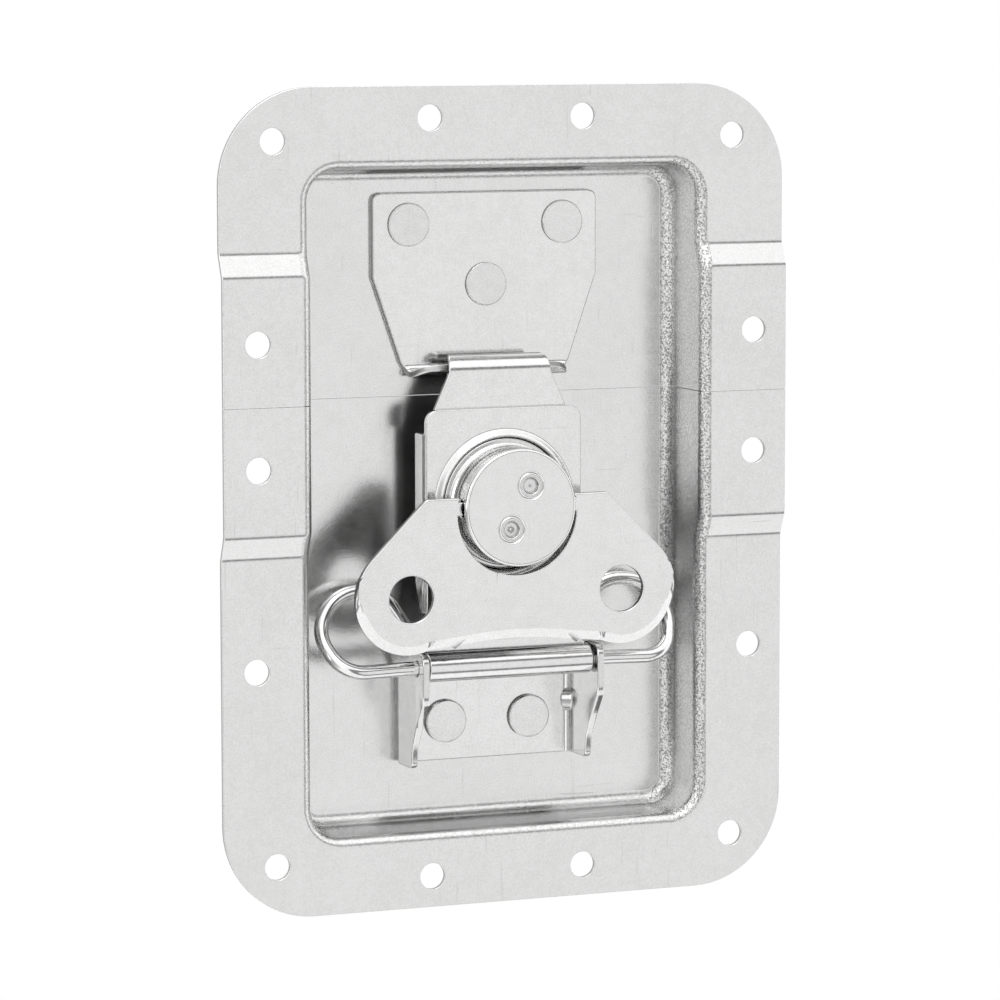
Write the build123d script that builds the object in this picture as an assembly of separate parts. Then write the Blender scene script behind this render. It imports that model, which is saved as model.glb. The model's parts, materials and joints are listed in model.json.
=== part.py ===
from build123d import *
from math import cos, radians, sin, sqrt, tan
import os

os.makedirs("parts", exist_ok=True)

# Recessed butterfly draw latch for a case. X is right, -Y faces the user, +Z is up.
# Y = 0 is the back of the flange, and X = Z = 0 is the middle of the four corner rivets.
# A height h is measured from the front face of the recess floor towards the user.

# ---------------------------------------------------------------- driving dimensions, mm
# dish
flange_width = 126.5
flange_height = 172.0
flange_corner_r = 20.0
dish_sheet = 1.2
recess_depth = 13.7  # flange face to floor face
recess_width = 86.4  # between the walls, at the floor
recess_height = 137.8
recess_corner_r = 6.0
recess_draft = 2.0  # degrees
recess_mid_z = -0.5
rim_bend_r = 2.5
floor_bend_r = 2.8
split_z = 20.8  # parting line of the two halves
split_gap = 0.4
band_half = 26.5  # parting line to the top of a ramp
band_ramp = 5.0
band_rise = 2.2
band_bend_r = 3.0
# flange rivet holes
mount_hole_r = 2.75
corner_hole_inset_x = 11.75  # from the edges of the flange
corner_hole_inset_z = 11.0
end_pitch_x = 34.2
end_hole_share = 0.397  # of the rim between flange edge and hollow, from the edge
side_hole_share = 0.386
side_hole_z = -34.1
band_hole_low_z = 7.9
band_hole_high_z = 33.7
# flat rivets
rivet_r = 2.5
rivet_head_r = 4.5
rivet_head_h = 0.5
rivet_tail_r = 3.9
rivet_tail_h = 1.0
rivet_play = 0.05
# keeper
keeper_sheet = 1.5
keeper_half_w = 25.3
keeper_top_gap = 4.9  # below the top of the recess floor
keeper_shoulder_z = 45.8
keeper_foot_half_w = 18.0
keeper_foot_z = 24.7
keeper_corner_r = 1.8
keeper_lip_slope = 60.0  # degrees between the lip and the plate
keeper_lip_h = 6.7
keeper_bend_r = 3.0
keeper_lip_half_w = 15.6
keeper_rivet_x = 17.4
keeper_rivet_inset = 6.7  # below the top of the keeper
keeper_low_rivet_z = 44.0
# hinge of the link
pin_z = -35.2
pin_h = 13.4
wire_r = 1.5
barrel_play = 0.05
# loops of the hinge wire: corners of the right one, from the ear outwards and back in
loop_straight = 4.0  # beyond the ear
loop_wall_gap = 2.8  # from the recess wall to the outermost corner
loop_top_in = 3.8  # in from the outermost corner
loop_droop = 0.4
loop_side_z = -27.4
loop_side_h = 7.0
loop_low_in = 5.0
loop_low_z = -20.0
loop_low_h = 4.6
loop_leg_x = 25.0
loop_leg_z = -19.2
loop_foot_x = 18.6
loop_foot_z = -28.8
loop_foot_h = 4.2
# base bracket
bracket_sheet = 1.5
ear_inner_x = 19.0
ear_front_h = 17.45
ear_top_z = -31.8
ear_top_r = 2.6
ear_rear_drop = 3.4  # from the pin's height to the rear end of the ear's top
ear_foot_h = 10.2
ear_foot_r = 1.6
ear_calf_h = 10.8
ear_calf_rise = 4.5  # above the foot
ear_knee_h = 13.0
ear_knee_rise = 9.0
ear_chest_in = 0.5
ear_chest_rise = 14.5
ear_full_rise = 16.5
ear_rear_step = 1.5
ear_rear_slant = 1.2
bracket_top_z = -39.0
bracket_foot_z = -57.0
bracket_bend_r = 1.4
bracket_rivet_x = 9.5
bracket_rivet_z = -48.6
ear_hole_play = 0.15
gusset_run = 2.6
gusset_t = 2.0
gusset_z = -45.6
gusset_bite = 0.3  # into the sheet
# link
link_sheet = 1.5
link_half_w = 17.9
link_top_half_w = 17.5
link_top_z = 18.6
link_top_r = 2.6
link_flange_top_z = 13.5
link_flange_foot_z = -24.0
link_flange_back_h = 6.0
link_bend_r = 2.0
barrel_gap = 0.55  # end of the barrel to the ear
link_shoulder_run = 4.0  # where the plate widens to the barrel
link_flange_slant = 6.0
barrel_curl = 105.0  # degrees, from the plate's normal to the end of the curl
emboss_rise = 1.0
emboss_lip = 0.5
emboss_ramp = 1.2
seat_margin = 0.1
# drum
drum_z = -1.5
drum_r = 12.4
drum_journal_r = 13.95
drum_flange_r = 15.0
drum_flange_t = 0.8
drum_cove_r = 12.0
drum_wall = 3.0  # full-width wall under the cap
drum_cove_ramp = 0.6
drum_cove_foot = 0.8
drum_edge = 0.4
flange_play = 0.2  # drum flange to the link
journal_play = 0.05
cam_throw = 2.5
cam_r = 6.0
cam_slot_play = 0.85
spigot_r = 3.5
spigot_head_r = 4.4
spigot_head_h = 0.5
spigot_head_slant = 0.4
cam_hub_inset = 0.5
washer_r = 9.5
washer_t = 1.2
cap_t = 2.85
cap_edge_r = 0.8
cap_rivet_x = 2.15
cap_rivet_z = 4.5
cap_rivet_r = 1.7
cap_rivet_head_r = 3.0
cap_rivet_foot = 2.0  # in front of the link plate
cap_rivet_dish_share = 0.75  # of the head
cap_rivet_dish = 0.6
# hook
hook_sheet = 1.4
hook_half_w = 16.05
hook_foot_z = -17.5
hook_neck_half_w = 14.8
hook_bend_half_w = 11.6
hook_tip_half_w = 9.3
hook_bend_z = 25.8
hook_bend_r = 3.8
hook_curl = 100.0  # degrees
hook_tail = 1.0
hook_neck_back = 0.45  # behind the back of the link plate
hook_joggle_gap = 1.2
hook_joggle_run = 2.7
hook_joggle_r = 2.0
hook_joggle_lead = 2.0
hook_foot_cut = 2.5
# wing
wing_sheet = 1.5
wing_front_h = 19.3
wing_tip_x = 24.0
wing_tip_z = -19.7
wing_tip_r = 11.9
wing_top_z = 0.8
wing_shoulder_r = 1.2
wing_mid_z = -29.1
wing_waist_z = -29.9
wing_waist_x = 11.6
wing_cut_r = 13.3
wing_cut_z = -2.6
wing_hole_r = 4.9
wing_hole_x = 23.7
wing_hole_z = -19.85
wing_bevel = 1.9
wing_bevel_depth = 1.0
wing_bevel_top = 4.0  # above the middle of a lobe
wing_foot_in = 4.5  # from the middle of a lobe to the start of its waist
wing_tooth_x = 13.7
wing_tooth_half_w = 4.0
wing_tooth_root = 2.4  # into the plate
wing_tooth_drop = 0.9
tab_half_w = 1.4
tab_reach_x = 8.6
tab_root = 2.0  # into the plate
tab_play = 0.18
# general
running_gap = 0.3  # between pieces that pass each other
far = 200.0

# ---------------------------------------------------------------- derived sizes and levels
recess_top_z = recess_mid_z + recess_height / 2
mouth_grow = recess_depth * tan(radians(recess_draft))
rim_x = (flange_width - recess_width) / 2 - mouth_grow
rim_z = (flange_height - recess_height) / 2 - mouth_grow
keeper_top_z = recess_top_z - keeper_top_gap
keeper_rivet_z = keeper_top_z - keeper_rivet_inset
floor_y = recess_depth - dish_sheet
hinge_h = wing_front_h - wing_sheet / 2
drum_top_h = hinge_h + cap_t
barrel_r = wire_r + barrel_play + link_sheet
link_back_h = pin_h - barrel_r
link_front_h = link_back_h + link_sheet
link_opening_r = drum_journal_r + journal_play
flange_front_h = link_back_h - flange_play
flange_back_h = flange_front_h - drum_flange_t
hook_front_h = link_back_h - hook_neck_back
hook_rear_front_h = flange_back_h - running_gap
washer_front_h = hook_rear_front_h - hook_sheet - running_gap
washer_back_h = washer_front_h - washer_t
cam_z = drum_z - cam_throw
ear_outer_x = ear_inner_x + bracket_sheet
barrel_half = ear_inner_x - barrel_gap


def level(h):
    """Y of a height above the floor face."""
    return floor_y - h


def front_plane(h, x=0.0, z=0.0):
    """Local (x, z) axes that face the user, at height h."""
    return Plane(origin=(x, level(h), z), x_dir=(1, 0, 0), z_dir=(0, -1, 0))


def side_plane():
    """Local (h, z) axes in the middle plane X = 0."""
    return Plane(origin=(0, level(0), 0), x_dir=(0, -1, 0), z_dir=(-1, 0, 0))


def top_plane():
    """Local (x, h) axes, seen along Z."""
    return Plane(origin=(0, level(0), 0), x_dir=(1, 0, 0), z_dir=(0, 0, -1))


def turned(points, x, z):
    """Solid turned from (r, h) points about the axis through x, z towards the user."""
    lathe = Plane(origin=(x, level(0), z), x_dir=(1, 0, 0), z_dir=(0, 0, -1))
    face = make_face(lathe * Polyline(*points, close=True))
    return revolve(face, axis=Axis((x, level(0), z), (0, -1, 0)))


def slab(sketch, h_back, h_front):
    """Sketch in (x, z), made solid between two heights."""
    return extrude(front_plane(h_back) * sketch, amount=h_front - h_back)


def bar(x, z, r, h_back, h_front):
    """Round bar along Y."""
    return slab(Pos(x, z) * Circle(r), h_back, h_front)


def hole(x, z, r):
    """Round hole right through, along Y."""
    return bar(x, z, r, -far, far)


def across(face, half_width):
    """Face in the side plane, made solid to both sides of X = 0."""
    return extrude(side_plane() * face, amount=half_width, both=True)


def mirrored_polygon(half):
    """Closed outline from its right half, listed as (x, z)."""
    left = [(-x, z) for x, z in reversed(half)]
    return make_face(Polyline(*half, *left, close=True))


def block(w, h_back, h_front, z_low, z_high):
    """Box of width w about X = 0."""
    mid = Pos(0, (z_low + z_high) / 2) * Rectangle(w, z_high - z_low)
    return slab(mid, h_back, h_front)


# ---------------------------------------------------------------- dish
def joggled_block(drop):
    """Everything behind the flange face, which is lowered by drop; the band crosses the split."""
    low, high = recess_depth - drop, recess_depth + band_rise - drop
    top, foot = band_half, band_half + band_ramp
    face_line = FilletPolyline(
        (low, -far),
        (low, split_z - foot),
        (high, split_z - top),
        (high, split_z + top),
        (low, split_z + foot),
        (low, far),
        radius=band_bend_r,
    )
    back_line = Polyline((low, far), (-far, far), (-far, -far), (low, -far))
    return across(make_face([face_line, back_line]), far)


def recess_cut(grow):
    """The drawn hollow, with its walls and floor moved outwards by grow."""
    mouth = RectangleRounded(
        recess_width + 2 * grow, recess_height + 2 * grow, recess_corner_r + grow
    )
    floor = front_plane(-grow) * Pos(0, recess_mid_z) * mouth
    cut = extrude(floor, amount=2 * recess_depth, taper=-recess_draft)
    bottom = cut.faces().sort_by(Axis.Y)[-1]
    return fillet(bottom.edges(), floor_bend_r + grow)


def rim_edges(solid):
    """Edges where the hollow opens through the flange face."""
    half_x, half_z = (recess_width + rim_x) / 2, (recess_height + rim_z) / 2
    found = []
    for edge in solid.edges():
        box = edge.bounding_box()
        inside = box.max.X < half_x and box.min.X > -half_x
        inside = inside and abs(edge.center().Z - recess_mid_z) < half_z
        near_face = level(box.min.Y) > recess_depth / 2 and level(box.max.Y) < 2 * recess_depth
        crosses = box.max.Y - box.min.Y < recess_depth / 2
        if inside and near_face and crosses:
            found.append(edge)
    return found


def dish_form(drop):
    """Flange, band and hollow as one solid whose face is lowered by drop all over."""
    form = joggled_block(drop) - recess_cut(drop)
    return fillet(rim_edges(form), rim_bend_r - drop)


def mount_holes():
    """(x, z) of the fourteen rivet holes of the flange."""
    half_x, half_z = flange_width / 2, flange_height / 2
    corner = (half_x - corner_hole_inset_x, half_z - corner_hole_inset_z)
    end = (end_pitch_x / 2, half_z - end_hole_share * rim_z)
    side_x = half_x - side_hole_share * rim_x
    found = [(sx * x, sz * z) for x, z in (corner, end) for sx in (-1, 1) for sz in (-1, 1)]
    side_levels = (side_hole_z, band_hole_low_z, band_hole_high_z)
    return found + [(sx * side_x, z) for sx in (-1, 1) for z in side_levels]


def dish():
    outline = slab(
        RectangleRounded(flange_width, flange_height, flange_corner_r),
        -2 * recess_depth,
        3 * recess_depth,
    )
    sheet = (outline & dish_form(0)) - dish_form(dish_sheet)
    for x, z in mount_holes():
        sheet -= hole(x, z, mount_hole_r)
    for x, z in keeper_rivets() + bracket_rivets():
        sheet -= hole(x, z, rivet_r + rivet_play)
    return sheet


def keeper_rivets():
    top = [(x * keeper_rivet_x, keeper_rivet_z) for x in (-1, 1)]
    return top + [(0, keeper_low_rivet_z)]


def bracket_rivets():
    return [(x * bracket_rivet_x, bracket_rivet_z) for x in (-1, 1)]


whole_dish = dish()
upper_dish = whole_dish & block(far, -far, far, split_z + split_gap / 2, far)
lower_dish = whole_dish & block(far, -far, far, -far, split_z - split_gap / 2)


# ---------------------------------------------------------------- flat rivets
def flat_rivet(x, z, sheet):
    """Head on the sheet, shank through sheet and floor, tail formed behind the floor."""
    edge = 0.15
    points = [
        (0, sheet + rivet_head_h),
        (rivet_head_r - edge, sheet + rivet_head_h),
        (rivet_head_r, sheet + rivet_head_h - edge),
        (rivet_head_r, sheet),
        (rivet_r, sheet),
        (rivet_r, -dish_sheet),
        (rivet_tail_r, -dish_sheet),
        (rivet_tail_r - 2 * edge, -dish_sheet - rivet_tail_h),
        (0, -dish_sheet - rivet_tail_h),
    ]
    return turned(points, x, z)


# ---------------------------------------------------------------- keeper
def keeper():
    slope = radians(keeper_lip_slope)
    # outer faces of plate and lip meet below the foot, and the bend is rounded there
    foot_drop = keeper_bend_r / tan(slope / 2) - keeper_bend_r
    corner_z = keeper_foot_z - foot_drop
    lip_z = corner_z + keeper_lip_h / tan(slope)
    back = FilletPolyline(
        (0, keeper_top_z), (0, corner_z), (keeper_lip_h, lip_z), radius=keeper_bend_r
    )
    sheet = across(make_face(offset(back, amount=keeper_sheet, side=Side.LEFT)), far / 2)
    outline = mirrored_polygon(
        [
            (keeper_half_w, keeper_top_z),
            (keeper_half_w, keeper_shoulder_z),
            (keeper_foot_half_w, keeper_foot_z),
            (keeper_foot_half_w, corner_z),
        ]
    )
    corners = outline.vertices().sort_by(Axis.Y)[-4:]
    outline = fillet(corners, keeper_corner_r)
    taper = mirrored_polygon(
        [
            (far, -keeper_sheet),
            (far, keeper_sheet),
            (keeper_foot_half_w, keeper_sheet),
            (keeper_lip_half_w, keeper_lip_h + keeper_sheet),
        ]
    )
    body = sheet & slab(outline, -keeper_sheet, 2 * keeper_lip_h)
    body &= extrude(top_plane() * taper, amount=far, both=True)
    for x, z in keeper_rivets():
        body -= hole(x, z, rivet_r + rivet_play)
    return body


# ---------------------------------------------------------------- base bracket
def bracket():
    wide = 2 * ear_outer_x
    outer = Pos(0, far / 2) * Rectangle(wide, far)
    outer = fillet(outer.vertices().sort_by(Axis.Y)[:2], bracket_bend_r + bracket_sheet)
    inner = Pos(0, far / 2 + bracket_sheet) * Rectangle(2 * ear_inner_x, far)
    inner = fillet(inner.vertices().sort_by(Axis.Y)[:2], bracket_bend_r)
    channel = extrude(top_plane() * (outer - inner), amount=far, both=True)
    root_h = bracket_bend_r + bracket_sheet
    ear = Polyline(
        (root_h, bracket_foot_z),
        (ear_foot_h, bracket_foot_z),
        (ear_calf_h, bracket_foot_z + ear_calf_rise),
        (ear_knee_h, bracket_foot_z + ear_knee_rise),
        (ear_front_h - ear_chest_in, bracket_foot_z + ear_chest_rise),
        (ear_front_h, bracket_foot_z + ear_full_rise),
        (ear_front_h, ear_top_z),
        (pin_h - ear_rear_drop, ear_top_z),
        (root_h, bracket_top_z + ear_rear_step),
        close=True,
    )
    ear = make_face(ear)
    ear = fillet(ear.vertices().sort_by(Axis.Y)[-2:], ear_top_r)
    feet = ear.vertices().sort_by(Axis.Y)[:2]
    ear = fillet(feet.sort_by(Axis.X)[-1], ear_foot_r)
    side = ear + make_face(
        Polyline(
            (-bracket_sheet, bracket_foot_z),
            (root_h, bracket_foot_z),
            (root_h, bracket_top_z + ear_rear_step),
            (root_h - ear_rear_slant, bracket_top_z),
            (-bracket_sheet, bracket_top_z),
            close=True,
        )
    )
    body = channel & across(side, far / 2)
    pin_hole = make_face(Pos(pin_h, pin_z) * Circle(wire_r + ear_hole_play))
    body -= across(pin_hole, far)
    for x, z in bracket_rivets():
        body -= hole(x, z, rivet_r + rivet_play)
    # a gusset dart pressed into each bend stiffens the ear
    for s in (-1, 1):
        dart = make_face(
            Polyline(
                (s * (ear_inner_x - gusset_run), bracket_sheet - gusset_bite),
                (s * (ear_inner_x - gusset_run), bracket_sheet),
                (s * ear_inner_x, bracket_sheet + gusset_run),
                (s * (ear_inner_x + gusset_bite), bracket_sheet + gusset_run),
                (s * (ear_inner_x + gusset_bite), bracket_sheet - gusset_bite),
                close=True,
            )
        )
        body += Pos(0, 0, gusset_z) * extrude(top_plane() * dart, amount=gusset_t / 2, both=True)
    return body


# ---------------------------------------------------------------- hinge wire with its two loops
def loop_route():
    """Corners of the centre line on the right, as (x, z, h), from the ear outwards and back in."""
    reach_x = recess_width / 2 - loop_wall_gap
    return [
        (ear_outer_x + loop_straight, pin_z, pin_h),
        (reach_x - loop_top_in, pin_z - loop_droop, pin_h - loop_droop),
        (reach_x, loop_side_z, loop_side_h),
        (reach_x - loop_low_in, loop_low_z, loop_low_h),
        (loop_leg_x, loop_leg_z, loop_foot_h),
        (loop_foot_x, loop_foot_z, loop_foot_h),
    ]


def bend_radii(points):
    """Largest round bends: each takes up to 0.47 of its shorter run."""
    radii = []
    for before, here, after in zip(points, points[1:], points[2:]):
        run_in, run_out = here - before, after - here
        half_turn = radians(run_in.get_angle(run_out)) / 2
        radii.append(0.47 * min(run_in.length, run_out.length) / tan(half_turn))
    return radii


def wire():
    right = [Vector(x, level(h), z) for x, z, h in loop_route()]
    left = [Vector(-p.X, p.Y, p.Z) for p in reversed(right)]
    half = FilletPolyline(*right, radius=bend_radii(right))
    other = FilletPolyline(*left, radius=bend_radii(left))
    path = Wire(other.edges() + [Edge.make_line(left[-1], right[0])] + half.edges())
    start = Plane(origin=left[0], z_dir=left[1] - left[0])
    return sweep(start * Circle(wire_r), path=path)


# ---------------------------------------------------------------- link
def link():
    plate = make_face(
        Polyline(
            (link_back_h, pin_z),
            (link_front_h, pin_z),
            (link_front_h, link_top_z),
            (link_back_h, link_top_z),
            close=True,
        )
    )
    ring = Circle(barrel_r) - Circle(barrel_r - link_sheet)
    end = radians(barrel_curl)  # the curl stops short of the plate
    wedge = make_face(
        Polyline(
            (0, 0),
            (4 * barrel_r * cos(end), 4 * barrel_r * sin(end)),
            (-4 * barrel_r, 4 * barrel_r),
            (-4 * barrel_r, 0),
            close=True,
        )
    )
    curl = Pos(pin_h, pin_z) * (ring - wedge)
    outline = mirrored_polygon(
        [
            (link_top_half_w, link_top_z),
            (link_top_half_w, link_flange_foot_z),
            (barrel_half, link_flange_foot_z - link_shoulder_run),
            (barrel_half, pin_z - 2 * barrel_r),
        ]
    )
    outline = fillet(outline.vertices().sort_by(Axis.Y)[-2:], link_top_r)
    body = across(plate + curl, barrel_half) & slab(outline, 0, 2 * pin_h)
    # side flanges, folded back from the plate
    deep = link_front_h - link_flange_back_h
    outer = Pos(0, link_front_h - deep / 2) * Rectangle(2 * link_half_w, deep)
    outer = fillet(outer.vertices().sort_by(Axis.Y)[-2:], link_bend_r)
    inner_w = 2 * (link_half_w - link_sheet)
    inner = Pos(0, link_back_h - deep / 2) * Rectangle(inner_w, deep)
    inner = fillet(inner.vertices().sort_by(Axis.Y)[-2:], link_bend_r - link_sheet)
    channel = extrude(top_plane() * (outer - inner), amount=far, both=True)
    tall = make_face(
        Polyline(
            (link_flange_back_h, link_flange_top_z),
            (far, link_flange_top_z),
            (far, link_flange_foot_z),
            (link_back_h - link_sheet, link_flange_foot_z),
            (link_flange_back_h, link_flange_foot_z + link_flange_slant),
            close=True,
        )
    )
    keep = channel & across(tall, link_half_w)
    body += keep
    seat_r = link_half_w - link_bend_r - seat_margin
    body -= bar(0, drum_z, seat_r, 0, 2 * pin_h)
    lip_r = link_opening_r + emboss_lip
    collar = [
        (seat_r, link_back_h),
        (seat_r, link_front_h),
        (lip_r + emboss_ramp, link_front_h),
        (lip_r, link_front_h + emboss_rise),
        (link_opening_r, link_front_h + emboss_rise),
        (link_opening_r, link_back_h + emboss_rise),
        (lip_r, link_back_h + emboss_rise),
        (lip_r + emboss_ramp, link_back_h),
    ]
    return body + turned(collar, 0, drum_z)


# ---------------------------------------------------------------- drum, cap, rivets and washer
def trunnion_bore():
    """The bore through drum and cap, along X, that the wing's tabs turn in."""
    r = sqrt(tab_half_w**2 + (wing_sheet / 2) ** 2) + tab_play
    side = Plane(origin=(0, level(hinge_h), drum_z), x_dir=(0, -1, 0), z_dir=(-1, 0, 0))
    both = extrude(side * Circle(r), amount=far, both=True)
    return both - block(2 * (tab_reach_x - running_gap), 0, 2 * far, -far, far)


def cap_rivets():
    return {
        "upper": (cap_rivet_x, drum_z + cap_rivet_z),
        "lower": (-cap_rivet_x, drum_z - cap_rivet_z),
    }


cap_head_depth = cap_rivet_head_r - cap_rivet_r
cap_rivet_foot_h = link_front_h + cap_rivet_foot


def cap_rivet_points(play):
    """(r, h) of a cap rivet: countersunk head, straight shank; play widens it to its bore."""
    return [
        (0, cap_rivet_foot_h - play),
        (cap_rivet_r + play, cap_rivet_foot_h - play),
        (cap_rivet_r + play, drum_top_h - cap_head_depth),
        (cap_rivet_head_r + play, drum_top_h),
        (0, drum_top_h),
    ]


def drum():
    collar_top_h = link_front_h + emboss_rise - running_gap
    cove_h = hinge_h - drum_wall
    hub_r = cam_r - cam_throw - cam_hub_inset
    points = [
        (0, washer_front_h),
        (0, hinge_h),
        (drum_r, hinge_h),
        (drum_r, cove_h),
        (drum_cove_r, cove_h - drum_cove_ramp),
        (drum_cove_r, collar_top_h + drum_cove_foot),
        (drum_cove_r + drum_cove_foot, collar_top_h),
        (drum_journal_r - drum_edge, collar_top_h),
        (drum_journal_r, collar_top_h - drum_edge),
        (drum_journal_r, flange_front_h),
        (drum_flange_r, flange_front_h),
        (drum_flange_r, flange_back_h),
        (hub_r, flange_back_h),
        (hub_r, washer_front_h),
    ]
    body = turned(points, 0, drum_z)
    cam = [
        (0, flange_back_h),
        (cam_r, flange_back_h),
        (cam_r, washer_front_h),
        (spigot_r, washer_front_h),
        (spigot_r, washer_back_h),
        (spigot_head_r, washer_back_h),
        (spigot_head_r - spigot_head_slant, washer_back_h - spigot_head_h),
        (0, washer_back_h - spigot_head_h),
    ]
    body += turned(cam, 0, cam_z)
    body -= trunnion_bore()
    for x, z in cap_rivets().values():
        body -= turned(cap_rivet_points(rivet_play), x, z)
    return body


def cap():
    disc = bar(0, drum_z, drum_r, hinge_h, drum_top_h)
    front = disc.faces().sort_by(Axis.Y)[0]
    disc = fillet(front.edges(), cap_edge_r) - trunnion_bore()
    for x, z in cap_rivets().values():
        disc -= turned(cap_rivet_points(rivet_play), x, z)
    return disc


def cap_rivet(x, z):
    """Rivet with a dished head."""
    body = turned(cap_rivet_points(0), x, z)
    dish_r = cap_rivet_dish_share * cap_rivet_head_r
    ball_r = (dish_r**2 + cap_rivet_dish**2) / (2 * cap_rivet_dish)
    ball = Pos(x, level(drum_top_h + ball_r - cap_rivet_dish), z) * Sphere(ball_r)
    return body - ball


def washer():
    points = [
        (spigot_r + rivet_play, washer_back_h),
        (washer_r, washer_back_h),
        (washer_r, washer_front_h),
        (spigot_r + rivet_play, washer_front_h),
    ]
    return turned(points, 0, cam_z)


# ---------------------------------------------------------------- hook
def hook():
    turn = radians(hook_curl)
    reach = hook_bend_r * tan(turn / 2)
    corner = (hook_front_h, hook_bend_z + reach)
    run = reach + hook_tail
    tail = (corner[0] - run * sin(turn), corner[1] + run * cos(turn))
    joggle_low = drum_z + drum_flange_r + hook_joggle_gap
    front = FilletPolyline(
        (hook_rear_front_h, hook_foot_z),
        (hook_rear_front_h, joggle_low),
        (hook_front_h, joggle_low + hook_joggle_run),
        corner,
        tail,
        radius=[hook_joggle_r, hook_joggle_r, hook_bend_r],
    )
    sheet = across(make_face(offset(front, amount=hook_sheet, side=Side.LEFT)), far / 2)
    outline = mirrored_polygon(
        [
            (hook_half_w - hook_foot_cut, hook_foot_z),
            (hook_half_w, hook_foot_z + hook_foot_cut),
            (hook_half_w, joggle_low - hook_joggle_lead),
            (hook_neck_half_w, link_top_z),
            (hook_bend_half_w, hook_bend_z),
        ]
    )
    curl = mirrored_polygon(
        [(hook_bend_half_w, hook_front_h), (hook_tip_half_w, hook_front_h - 2 * hook_bend_r)]
    )
    lower = sheet & slab(outline, 0, 2 * hook_front_h)
    upper = sheet & extrude(top_plane() * curl, amount=far, both=True)
    upper &= block(far, 0, far, hook_bend_z, far)
    body = lower + upper
    slot = SlotCenterToCenter(2 * cam_throw, 2 * (cam_r + cam_slot_play))
    return body - slab(Pos(0, cam_z) * slot, 0, 2 * hook_front_h)


# ---------------------------------------------------------------- butterfly wing
def wing_outline():
    """Two round lobes joined by a waist, with the round cut for the drum."""
    # the sloping shoulder is tangent to the lobe, at 45 degrees
    touch = wing_tip_r / sqrt(2)
    touch_pt = (wing_tip_x + touch, wing_tip_z + touch)
    shoulder = (touch_pt[0] + touch_pt[1] - wing_top_z, wing_top_z)
    outer = (wing_tip_x + wing_tip_r, wing_tip_z)
    foot = (wing_tip_x - wing_foot_in, wing_tip_z - sqrt(wing_tip_r**2 - wing_foot_in**2))
    cut_x = sqrt(wing_cut_r**2 - (wing_top_z - wing_cut_z) ** 2)
    waist = (wing_waist_x, wing_waist_z)
    lines = []
    right = (shoulder, touch_pt, outer, foot, waist)
    for s in (-1, 1):
        top, slope, tip, low, neck = [(s * x, z) for x, z in right]
        lines += [
            Line((s * cut_x, wing_top_z), top),
            Line(top, slope),
            ThreePointArc(slope, tip, low),
            Line(low, neck),
        ]
    lines.append(ThreePointArc((-waist[0], waist[1]), (0, wing_mid_z), waist))
    cut_foot = (0, wing_cut_z - wing_cut_r)
    lines.append(ThreePointArc((-cut_x, wing_top_z), cut_foot, (cut_x, wing_top_z)))
    return make_face(lines)


def wing():
    face = wing_outline()
    shoulders = [v for v in face.vertices() if v.Y > 0 and abs(v.X) > wing_cut_r]
    face = fillet(shoulders, wing_shoulder_r)
    back_h = wing_front_h - wing_sheet
    plate = slab(face, back_h, wing_front_h)
    front = plate.faces().sort_by(Axis.Y)[0]
    low = [e for e in front.edges() if e.center().Z < wing_tip_z]
    waist = [e for e in low if abs(e.center().X) < wing_tip_x - wing_foot_in]
    plate = chamfer(waist, length=wing_bevel, length2=wing_bevel_depth, reference=front)
    # the lower rim of each lobe slopes back on a cone
    cone = [
        (wing_tip_r, wing_front_h - wing_bevel_depth),
        (2 * wing_tip_r, wing_front_h - wing_bevel_depth),
        (2 * wing_tip_r, wing_front_h + wing_bevel_depth),
        (wing_tip_r - 2 * wing_bevel, wing_front_h + wing_bevel_depth),
    ]
    bevel_top_z = wing_tip_z + wing_bevel_top
    tab_end = wing_cut_r + tab_root
    for s in (-1, 1):
        outer = Pos(s * (wing_tip_x - wing_foot_in + far / 2), bevel_top_z - far / 2)
        quarter = slab(outer * Rectangle(far, far), 0, 2 * wing_front_h)
        plate -= turned(cone, s * wing_tip_x, wing_tip_z) & quarter
        plate -= hole(s * wing_hole_x, wing_hole_z, wing_hole_r)
        tab_mid = Pos(s * (tab_reach_x + tab_end) / 2, drum_z)
        tab = tab_mid * Rectangle(tab_end - tab_reach_x, 2 * tab_half_w)
        plate += slab(tab, back_h, wing_front_h)
        tooth = Polyline(
            (s * (wing_tooth_x - wing_tooth_half_w), wing_waist_z + wing_tooth_root),
            (s * wing_tooth_x, wing_waist_z - wing_tooth_drop),
            (s * (wing_tooth_x + wing_tooth_half_w), wing_waist_z + wing_tooth_root),
            close=True,
        )
        plate += slab(make_face(tooth), back_h, wing_front_h - wing_bevel_depth / 2)
    return plate


# ---------------------------------------------------------------- write every piece
pieces = {
    "upper_dish": upper_dish,
    "lower_dish": lower_dish,
    "keeper_plate": keeper(),
    "base_bracket": bracket(),
    "loop_spring": wire(),
    "link_plate": link(),
    "hook_plate": hook(),
    "cam_drum": drum(),
    "drum_cap": cap(),
    "cam_washer": washer(),
    "butterfly_wing": wing(),
}
for name, (x, z) in zip(("left", "right", "lower"), keeper_rivets()):
    pieces["keeper_rivet_" + name] = flat_rivet(x, z, keeper_sheet)
for name, (x, z) in zip(("left", "right"), bracket_rivets()):
    pieces["bracket_rivet_" + name] = flat_rivet(x, z, bracket_sheet)
for name, (x, z) in cap_rivets().items():
    pieces["cap_rivet_" + name] = cap_rivet(x, z)

for name, piece in pieces.items():
    export_step(piece, "parts/" + name + ".step")
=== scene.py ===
import json
import math

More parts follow.
